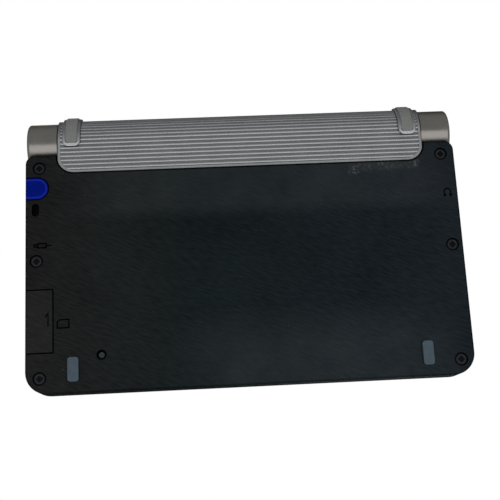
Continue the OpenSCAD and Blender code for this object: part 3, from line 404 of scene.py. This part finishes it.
def scuff_mask(graph):
    """Pale flaky wear in front of the battery cover, on the side of the earphone jack."""
    flakes = graph.ramp(graph.noise(0.8, detail=6.0, roughness=0.7), *FLAKE_RANGE)
    sides = [TONGUE_Y / MM - front for front in SCUFF_FRONT_MM]
    strip = graph.patch((*SCUFF_X_MM, SCUFF_SOFT_MM), (*sides, SCUFF_SOFT_MM))
    spot = graph.nearest([(x * MM, TONGUE_Y - front * MM) for x, front in SCUFF_SPOTS_MM])
    round_spot = graph.ramp(spot, *(radius * MM for radius in SCUFF_SPOT_MM))
    rubbed = graph.all_of(round_spot, SPOT_STRENGTH)
    film = graph.all_of(strip, FILM_STRENGTH)
    thin = graph.all_of(strip, STRIP_STRENGTH)
    return graph.any_of(film, graph.all_of(flakes, graph.any_of(rubbed, thin)))


def stylus_outline(graph):
    """How far a place lies outside the stylus's tail, whose inner end is round."""
    start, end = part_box("stylus_cap")
    return graph.from_outline(start.xy, (end.x + PAST, end.y), (end.y - start.y) / 2 / MM)


def seam_mask(graph):
    """One in the shade and dirt along the seams of what is let into the case's underside."""
    start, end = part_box("card_door")
    pin = DOOR_PIN_MM * MM
    door = graph.from_outline((start.x, start.y + pin), (end.x + PAST, end.y - pin), DOOR_CORNER_MM)
    cover = graph.from_outline((-SEAM_X, TONGUE_Y), (SEAM_X, TONGUE_Y + PAST), TONGUE_CORNER_MM)
    return graph.any_of(
        graph.band(door, -0.12, 0.25, 0.1),
        graph.band(stylus_outline(graph), -0.1, 0.35, 0.12),
        graph.band(cover, -0.1, 0.5, 0.15),
        graph.band(graph.nearest(RESET_SPOT), 0.0, RESET_HOLE_MM + 0.1, 0.15),
        graph.band(graph.nearest(SCREW_SPOTS), SCREW_HEAD_MM - 0.1, SCREW_HEAD_MM + 0.25, 0.15),
    )


# How much a painted highlight brightens the cover's crests, and painted shade darkens its grooves,
# against its colour
CREST_GAIN = 1.1
GROOVE_GAIN = 0.74
# The cover is painted darker towards its rear, from the second of these places behind the barrel's
# axis to the first. This partly stands in for the dark that such paint mirrors there
REAR_FADE_MM = (3.5, 0.0)
REAR_GAIN = 0.58
CAP_SEAM_SHADE_AND_DIRT_STRENGTH = 0.85
SILVER_MOTTLE = (0.95, 1.05)
SILVER_GRAIN_MM = 0.15
SILVER_SPREAD = 0.04
SILVER_EDGE_TINT = 0.25


def silver_paint(name, colour, roughness, metallic, grain_depth_mm, grooved=False):
    """Metallic grey paint, with painted shade and dirt along the seams between the end caps and the
    battery cover.

    The grooved cover has painted shade in its grooves and a painted highlight on its crests, and is
    painted darker towards its rear.
    """
    graph = Graph(name)
    x, y, _ = graph.axes()
    seam_mm = SEAM_X / MM
    seam = graph.band(graph.calc("ABSOLUTE", x), seam_mm - 0.1, seam_mm + 0.35, 0.12)
    patches = graph.spread(graph.noise(6.0, detail=4.0), *SILVER_MOTTLE)
    toned = graph.scaled(colour, patches)
    if grooved:
        forward = graph.ramp(y, *(BARREL.y + back * MM for back in REAR_FADE_MM))
        # Painted highlight on the crests and painted shade in the grooves, fading out towards the rear
        grooves = graph.all_of(groove_mask(graph), forward)
        toned = graph.scaled(toned, graph.remap(grooves, 0.0, 1.0, CREST_GAIN, GROOVE_GAIN))
        toned = graph.scaled(toned, graph.remap(forward, 0.0, 1.0, REAR_GAIN, 1.0))
    # Painted shade and dirt in the seams beside the end caps
    seam_shade_and_dirt = graph.all_of(seam, CAP_SEAM_SHADE_AND_DIRT_STRENGTH)
    graph.set("Base Color", graph.mix(seam_shade_and_dirt, toned, srgb(16, 15, 14)))
    graph.set("Roughness", graph.remap(patches, *SILVER_MOTTLE, roughness - SILVER_SPREAD,
                                       roughness + SILVER_SPREAD))
    graph.set("Normal", graph.bump(graph.noise(SILVER_GRAIN_MM), grain_depth_mm))
    return dulled(graph, metallic, SILVER_EDGE_TINT)


def groove_mask(graph):
    """One at the bottom of the grooves between the cover's ribs, and zero on their crests."""
    _, y, z = graph.axes()
    back = graph.calc("SUBTRACT", y, BARREL.y)
    from_axis = graph.length(back, graph.calc("SUBTRACT", z, BARREL.z))
    in_barrel = graph.calc("SUBTRACT", BARREL_R, from_axis)
    in_tongue = graph.calc("SUBTRACT", z, BASE_Z)
    on_tongue = graph.calc("LESS_THAN", back, 0.0)
    on_barrel = graph.calc("SUBTRACT", 1.0, on_tongue)
    depth = graph.calc("ADD", graph.all_of(in_tongue, on_tongue), graph.all_of(in_barrel, on_barrel))
    return graph.ramp(depth, 0.05 * MM, RIB_DEPTH_MM * MM)


def screw_steel(name):
    """Blackened screws: a patchy paler ring of painted highlight on the head, round a dark cross."""
    graph = Graph(name)
    # A ring of painted highlight on the screw heads, made patchy by noise
    ring = graph.band(graph.nearest(SCREW_SPOTS), 0.55 * SCREW_HEAD_MM, 0.8 * SCREW_HEAD_MM, 0.12)
    lightened = graph.all_of(ring, graph.spread(graph.noise(0.8, detail=3.0), 0.5, 1.0))
    graph.set("Base Color", graph.mix(lightened, srgb(19, 19, 21), srgb(42, 44, 46)))
    graph.set("Roughness", graph.spread(graph.noise(0.5), 0.35, 0.5))
    graph.set("Normal", graph.round_normal(0.08))
    return dulled(graph, 0.3)


def reset_plastic(name):
    """A grey tip, with shade on the flange that lies deep round it."""
    graph = Graph(name)
    tip = graph.ramp(graph.nearest(RESET_SPOT), (RESET_TIP_MM + 0.1) * MM, RESET_TIP_MM * MM)
    mottle = graph.spread(graph.noise(0.7, detail=3.0), 0.9, 1.1)
    graph.set("Base Color", graph.mix(tip, srgb(4, 4, 5), graph.scaled(srgb(49, 55, 55), mottle)))
    graph.set("Roughness", graph.remap(mottle, 0.9, 1.1, 0.45, 0.55))
    graph.set("Normal", graph.round_normal(EDGE_MM))
    return dulled(graph, 0.2)


def stylus_plastic(name):
    """Deep blue plastic, with a paler line of painted highlight just inside the outline of the tail.
    """
    graph = Graph(name)
    # Painted highlight just inside the tail's outline, where its edge would catch the light
    painted_highlight = graph.all_of(graph.band(stylus_outline(graph), -0.75, -0.4, 0.2), 0.3)
    mottle = graph.spread(graph.noise(4.0, detail=4.0), 0.92, 1.08)
    blue = graph.scaled(srgb(6, 21, 108), mottle)
    graph.set("Base Color", graph.mix(painted_highlight, blue, srgb(40, 60, 190)))
    graph.set("Roughness", graph.remap(mottle, 0.92, 1.08, 0.3, 0.4))
    graph.set("Normal", graph.bump(graph.noise(0.2, detail=3.0), 0.003, graph.round_normal(0.15)))
    return dulled(graph, 0.25)


def window_material(name):
    """Clear hard plastic over the display."""
    graph = moulded(name, srgb(200, 205, 205), 0.1, mottle=0.01, wear=0.0)
    graph.fix(Transmission_Weight=0.9, IOR=1.49)
    return graph.material


CASE = case_plastic("case plastic")
DOOR = case_plastic("door plastic", 1.25)
DECK = dulled(moulded("deck plastic", srgb(27, 28, 30), 0.5, wear=0.03), 0.3)
LID = moulded("lid plastic", srgb(30, 30, 33), 0.45, specular=0.12, mottle_mm=40, mottle=0.06,
              grain_mm=0.2, wear=0.12).material
SILVER = silver_paint("silver plastic", srgb(93, 91, 88), 0.24, 0.8, 0.002)
RIBBED = silver_paint("ribbed plastic", srgb(116, 118, 119), 0.34, 0.7, 0.004, grooved=True)
BLUE = stylus_plastic("blue plastic")
KEYS = moulded("key plastic", srgb(200, 201, 204), 0.4, mottle=0.02).material
RING = moulded("ring plastic", srgb(140, 142, 145), 0.25, metallic=0.4).material
STRIP = moulded("strip rubber", srgb(82, 84, 88), 0.6, specular=0.2).material
FOOT = moulded("foot rubber", srgb(69, 81, 91), 0.7, specular=0.1, mottle_mm=2.5, mottle=0.1).material
PAD = moulded("pad rubber", srgb(122, 123, 121), 0.8, specular=0.05, mottle_mm=1.5,
              mottle=0.06).material
BUMPER = moulded("bumper rubber", srgb(50, 51, 53), 0.7, specular=0.2).material
MEMBRANE = moulded("membrane rubber", srgb(190, 190, 182), 0.6).material
BLACK_STEEL = moulded("black steel", srgb(30, 31, 33), 0.4, specular=0.1, metallic=0.5,
                      mottle_mm=1).material
STEEL = moulded("bright steel", srgb(185, 187, 190), 0.22, metallic=1.0, mottle_mm=2).material
PORT = moulded("port plastic", srgb(16, 16, 18), 0.45, specular=0.1).material
BOARD = moulded("board green", srgb(20, 88, 52), 0.35, mottle_mm=3).material
CHIP = moulded("chip black", srgb(30, 31, 32), 0.55).material
CELL = moulded("cell sleeve", srgb(176, 138, 62), 0.3, metallic=0.3).material
PANEL = moulded("panel grey", srgb(128, 136, 122), 0.35, mottle_mm=20).material
PAD_GLASS = moulded("pad glass", srgb(44, 46, 49), 0.25).material
BUTTON = reset_plastic("button grey")
SCREW = screw_steel("screw steel")
MARK = dulled(moulded("mark ink", srgb(3, 3, 4), 0.4, wear=0.0), 0.0)
LEGEND = moulded("legend ink", srgb(40, 42, 46), 0.5, specular=0.2, wear=0.0).material
WINDOW = window_material("window clear")

LETTER_KEYS = [node for node in NODES if node.startswith("key_") and len(node) == len("key_a")]
FINISHES = {
    "bottom_cover": CASE, "card_door": DOOR, "keyboard_deck": DECK, "screen_bezel": DECK,
    "battery_housing": DECK, "main_board": BOARD, "board_chips": CHIP, "key_membrane": MEMBRANE,
    "case_screws": SCREW, "lid_screws": BLACK_STEEL, "front_feet": FOOT, "rear_feet": PAD,
    "battery_contacts": STEEL, "battery_cells": CELL, "usb_socket": STEEL, "card_socket": STEEL,
    "hinge_pins": STEEL, "earphone_jack": PORT, "speaker": PORT, "function_keypad": STRIP,
    "writing_pad": PAD_GLASS, "battery_cover": RIBBED, "stylus_shaft": BLUE, "stylus_cap": BLUE,
    "reset_button": BUTTON, "lid_shell": LID, "hinge_caps": SILVER, "lcd_panel": PANEL,
    "screen_window": WINDOW, "lid_bumpers": BUMPER, "cursor_pad": RING, "ok_key": RING,
    "enter_key": KEYS, "back_key": KEYS,
}


def finish(node, material):
    mesh = NODES[node].data
    mesh.materials.clear()
    mesh.materials.append(material)
    for polygon in mesh.polygons:
        polygon.material_index = 0


for plain_node, node_material in FINISHES.items():
    finish(plain_node, node_material)
for letter_node in LETTER_KEYS:
    finish(letter_node, KEYS)


# ---------- marks and legends ----------

# How far the ink stands out of the underside, and the width of its strokes
INK = 0.03 * MM
MARK_WIDTH = 0.44 * MM
# The keys' legends: how deep their dish is, their letters' size, and how far the ink stands out
KEY_DISH = 0.25 * MM
LEGEND_SIZE = 4.2 * MM
LEGEND_PROUD = 0.05 * MM
# A mitre at a sharp turn reaches at most as far as one whose cosine is this
MITRE_COSINE = 0.4
# An arc is drawn in this many straight steps
ARC_STEPS = 10


def add_piece(name, mesh, material, body):
    piece = bpy.data.objects.new(name, mesh)
    bpy.context.scene.collection.objects.link(piece)
    mesh.materials.append(material)
    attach(piece, body)


def stroke_mesh(name, paths, width, z, thickness):
    """Flat strokes along paths in the XY plane, as closed prisms with square ends."""
    points = []
    faces = []
    for path, closed in paths:
        sides = stroke_sides(path, width / 2, closed)
        count = len(sides)
        first = len(points)
        for left, right in sides:
            points += [(*left, z), (*right, z), (*right, z + thickness), (*left, z + thickness)]
        for i in range(count if closed else count - 1):
            here = first + 4 * i
            there = first + 4 * ((i + 1) % count)
            faces += [[here + k, here + (k + 1) % 4, there + (k + 1) % 4, there + k] for k in range(4)]
        if not closed:
            last = first + 4 * (count - 1)
            faces += [[first + 3, first + 2, first + 1, first], [last, last + 1, last + 2, last + 3]]
    mesh = bpy.data.meshes.new(name)
    mesh.from_pydata(points, [], faces)
    mesh.update()
    return mesh


def stroke_sides(path, half, closed):
    """The left and right side of a stroke at each point of its path, mitred at the turns."""
    sides = []
    count = len(path)
    for i, point in enumerate(path):
        here = Vector(point)
        before = Vector(path[i - 1]) if closed or i > 0 else None
        after = Vector(path[(i + 1) % count]) if closed or i < count - 1 else None
        into = (here - before).normalized() if before is not None else (after - here).normalized()
        out = (after - here).normalized() if after is not None else into
        normal = Vector((-into.y - out.y, into.x + out.x)).normalized()
        reach = half / max(MITRE_COSINE, normal.dot(Vector((-into.y, into.x))))
        sides.append((here + normal * reach, here - normal * reach))
    return sides


def arc(centre, radius, start_deg, end_deg):
    turns = [start_deg + (end_deg - start_deg) * i / ARC_STEPS for i in range(ARC_STEPS + 1)]
    angles = [math.radians(turn) for turn in turns]
    return [(centre[0] + radius * math.cos(a), centre[1] + radius * math.sin(a)) for a in angles]


def placed(paths, x, y):
    """Paths given in mm from their own middle, moved to a place in metres."""
    return [([(x + px * MM, y + py * MM) for px, py in path], closed) for path, closed in paths]


def mark(name, body, place_mm, paths):
    """A pictogram in black ink on the underside."""
    moved = placed(paths, *(place * MM for place in place_mm))
    mesh = stroke_mesh(name, moved, MARK_WIDTH, BASE_Z - INK, 2 * INK)
    add_piece(name, mesh, MARK, body)


# A sign is a list of paths in mm, each with whether it is closed.
# The earphone mark: a head band over two ear pieces
HEADPHONES = [(arc((0, 0.2), 1.15, 200, -20), False), ([(-1.15, -0.3), (-1.15, -1.5)], False),
              ([(1.15, -0.3), (1.15, -1.5)], False), ([(-0.8, -0.5), (-0.8, -1.3)], False),
              ([(0.8, -0.5), (0.8, -1.3)], False)]
# The data socket's mark: a plug and its lead
PORT_MARK = [([(-1.6, -0.75), (1.1, -0.75), (1.1, 0.75), (-1.6, 0.75)], True),
             ([(1.1, -0.4), (2.3, -0.4), (2.3, 0.4), (1.1, 0.4)], False),
             ([(-1.6, 0), (-3.4, 0)], False)]
# The card slot's mark: a card with a cut corner
CARD_MARK = [([(-1.9, -1.35), (1.9, -1.35), (1.9, 0.6), (1.1, 1.35), (-1.9, 1.35)], True)]
# The card door's mark: a half arrow towards the hinge
DOOR_ARROW = [([(0, -2.2), (0, 2.2), (0.85, 0.7)], False)]

mark("mark_earphones", "base", (-70.3, 13.9), HEADPHONES)
mark("mark_data_port", "base", (68.6, 0.8), PORT_MARK)
mark("mark_card", "base", (61.5, -25.9), CARD_MARK)
mark("mark_door_arrow", "card_door", (66.4, -24.3), DOOR_ARROW)


def text_mesh(name, text, size, thickness):
    curve = bpy.data.curves.new(name, "FONT")
    curve.body = text
    curve.size = size
    curve.extrude = thickness / 2
    curve.align_x = "CENTER"
    curve.align_y = "CENTER"
    curve.resolution_u = 3
    temporary = bpy.data.objects.new(name, curve)
    mesh = bpy.data.meshes.new_from_object(temporary)
    bpy.data.objects.remove(temporary)
    bpy.data.curves.remove(curve)
    return mesh


def letter_legend(node):
    """The letter in the dish of a key's top."""
    letter = node[-1]
    name = "legend_" + letter
    mesh = text_mesh(name, letter.upper(), LEGEND_SIZE, 2 * LEGEND_PROUD)
    bottom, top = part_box(node)
    centre = (bottom + top) / 2
    for vertex in mesh.vertices:
        vertex.co += Vector((centre.x, centre.y, top.z - KEY_DISH))
    add_piece(name, mesh, LEGEND, node)


def key_sign(name, node, paths, width_mm):
    """A plain sign on a key's flat top."""
    bottom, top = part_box(node)
    centre = (bottom + top) / 2
    mesh = stroke_mesh(name, placed(paths, centre.x, centre.y), width_mm * MM, top.z - LEGEND_PROUD,
                       2 * LEGEND_PROUD)
    add_piece(name, mesh, LEGEND, node)


def ring_arrows(radius_mm):
    """Four small arrow heads round a ring, one to each side."""
    paths = []
    for turn_deg in (0, 90, 180, 270):
        cos = math.cos(math.radians(turn_deg))
        sin = math.sin(math.radians(turn_deg))
        head = [(radius_mm - 0.5, -1.1), (radius_mm + 0.6, 0.0), (radius_mm - 0.5, 1.1)]
        paths.append(([(px * cos - py * sin, px * sin + py * cos) for px, py in head], False))
    return paths


ENTER_SIGN = [([(2.0, 1.5), (2.0, -0.6), (-2.0, -0.6)], False),
              ([(-0.9, 0.4), (-2.0, -0.6), (-0.9, -1.6)], False)]
BACK_SIGN = [([(2.2, 0), (-2.2, 0)], False), ([(-1.1, 1.0), (-2.2, 0), (-1.1, -1.0)], False)]
# The arrows lie about midway between the round key's rim and the ring's
RING_WIDTHS = [high(node).x - low(node).x for node in ("ok_key", "cursor_pad")]
RING_MIDDLE_MM = sum(RING_WIDTHS) / 4 / MM

for letter_node in LETTER_KEYS:
    letter_legend(letter_node)
key_sign("sign_enter", "enter_key", ENTER_SIGN, 0.5)
key_sign("sign_back", "back_key", BACK_SIGN, 0.5)
key_sign("sign_cursor", "cursor_pad", ring_arrows(RING_MIDDLE_MM), 0.35)


# ---------- floor, light and camera ----------

FLOOR_HALF = 4.0
FLOOR_GLOW = 0.42
AMBIENT = 0.32
LAMP_TARGET = (0, 0, 0.01)
# Each lamp's place, its size along and across X, and its share of full light on what faces it
LAMPS = {
    "lamp below": ((-0.03, -0.16, -0.68), (0.85, 0.47), 0.68),
    "lamp above": ((-0.35, -0.35, 0.8), (0.6, 0.6), 0.55),
    "lamp behind": ((0.4, 0.6, 0.5), (0.5, 0.5), 0.25),
}
CAMERA_PLACE = (0.0136, -0.0757, -0.3067)
CAMERA_TURN_DEG = (-166.72, 2.06, -177.06)
LENS_MM = 67.6
SENSOR_MM = 36


def floor_material():
    """Pale seen from above, and clear seen from below, where the camera looks up through it."""
    graph = Graph("floor")
    graph.fix(Roughness=0.9, Specular_IOR_Level=0.0, Emission_Color=(1, 1, 1),
              Emission_Strength=FLOOR_GLOW)
    graph.set("Base Color", graph.mix(graph.noise(60), srgb(198, 198, 197), srgb(204, 204, 203)))
    switch = graph.tree.nodes.new("ShaderNodeMixShader")
    from_below = graph.add("ShaderNodeNewGeometry").outputs["Backfacing"]
    clear = graph.add("ShaderNodeBsdfTransparent").outputs["BSDF"]
    for socket, value in zip(switch.inputs, (from_below, graph.shader.outputs["BSDF"], clear)):
        graph.put(socket, value)
    graph.put(graph.tree.nodes["Material Output"].inputs["Surface"], switch.outputs["Shader"])
    return graph.material


def make_floor():
    """A plain floor that only the camera sees, so that the light from below reaches the underside."""
    mesh = bpy.data.meshes.new("floor")
    corners = [(x * FLOOR_HALF, y * FLOOR_HALF, 0) for x, y in ((-1, -1), (1, -1), (1, 1), (-1, 1))]
    mesh.from_pydata(corners, [], [(0, 1, 2, 3)])
    mesh.materials.append(floor_material())
    floor = bpy.data.objects.new("floor", mesh)
    bpy.context.scene.collection.objects.link(floor)
    for kind in ("diffuse", "glossy", "transmission", "volume_scatter", "shadow"):
        setattr(floor, "visible_" + kind, False)


def make_lamp(name, place, size, level):
    """A soft lamp that faces the object, with its width along X."""
    aim = Vector(LAMP_TARGET) - Vector(place)
    data = bpy.data.lights.new(name, "AREA")
    data.shape = "RECTANGLE"
    data.size, data.size_y = size
    data.energy = level * (math.pi * aim.length) ** 2
    lamp = bpy.data.objects.new(name, data)
    bpy.context.scene.collection.objects.link(lamp)
    lamp.location = place
    back = -aim.normalized()
    across = (Vector((1, 0, 0)) - back * back.x).normalized()
    lamp.rotation_euler = Matrix((across, back.cross(across), back)).transposed().to_euler()
    lamp.visible_camera = False


def make_world():
    """White where the camera or a reflection sees it, and a dim even light elsewhere."""
    world = bpy.data.worlds.new("studio")
    world.use_nodes = True
    tree = world.node_tree
    background = tree.nodes["Background"]
    background.inputs["Color"].default_value = (1, 1, 1, 1)
    path = tree.nodes.new("ShaderNodeLightPath")
    seen = path.outputs["Is Camera Ray"]
    for kind in ("Is Glossy Ray", "Is Transmission Ray"):
        either = tree.nodes.new("ShaderNodeMath")
        either.operation = "MAXIMUM"
        tree.links.new(seen, either.inputs[0])
        tree.links.new(path.outputs[kind], either.inputs[1])
        seen = either.outputs["Value"]
    level = tree.nodes.new("ShaderNodeMapRange")
    level.inputs["To Min"].default_value = AMBIENT
    level.inputs["To Max"].default_value = 1.0
    tree.links.new(seen, level.inputs["Value"])
    tree.links.new(level.outputs["Result"], background.inputs["Strength"])
    bpy.context.scene.world = world


def make_camera():
    """The photograph's view: from below and a little in front, with the hinge at the top."""
    data = bpy.data.cameras.new("camera")
    data.lens = LENS_MM
    data.sensor_width = SENSOR_MM
    data.clip_start = 0.01
    camera = bpy.data.objects.new("camera", data)
    bpy.context.scene.collection.objects.link(camera)
    camera.location = CAMERA_PLACE
    camera.rotation_euler = [math.radians(turn) for turn in CAMERA_TURN_DEG]
    bpy.context.scene.camera = camera


make_floor()
make_world()
for lamp_name, lamp_setting in LAMPS.items():
    make_lamp(lamp_name, *lamp_setting)
make_camera()
bpy.context.scene.view_settings.view_transform = "Standard"
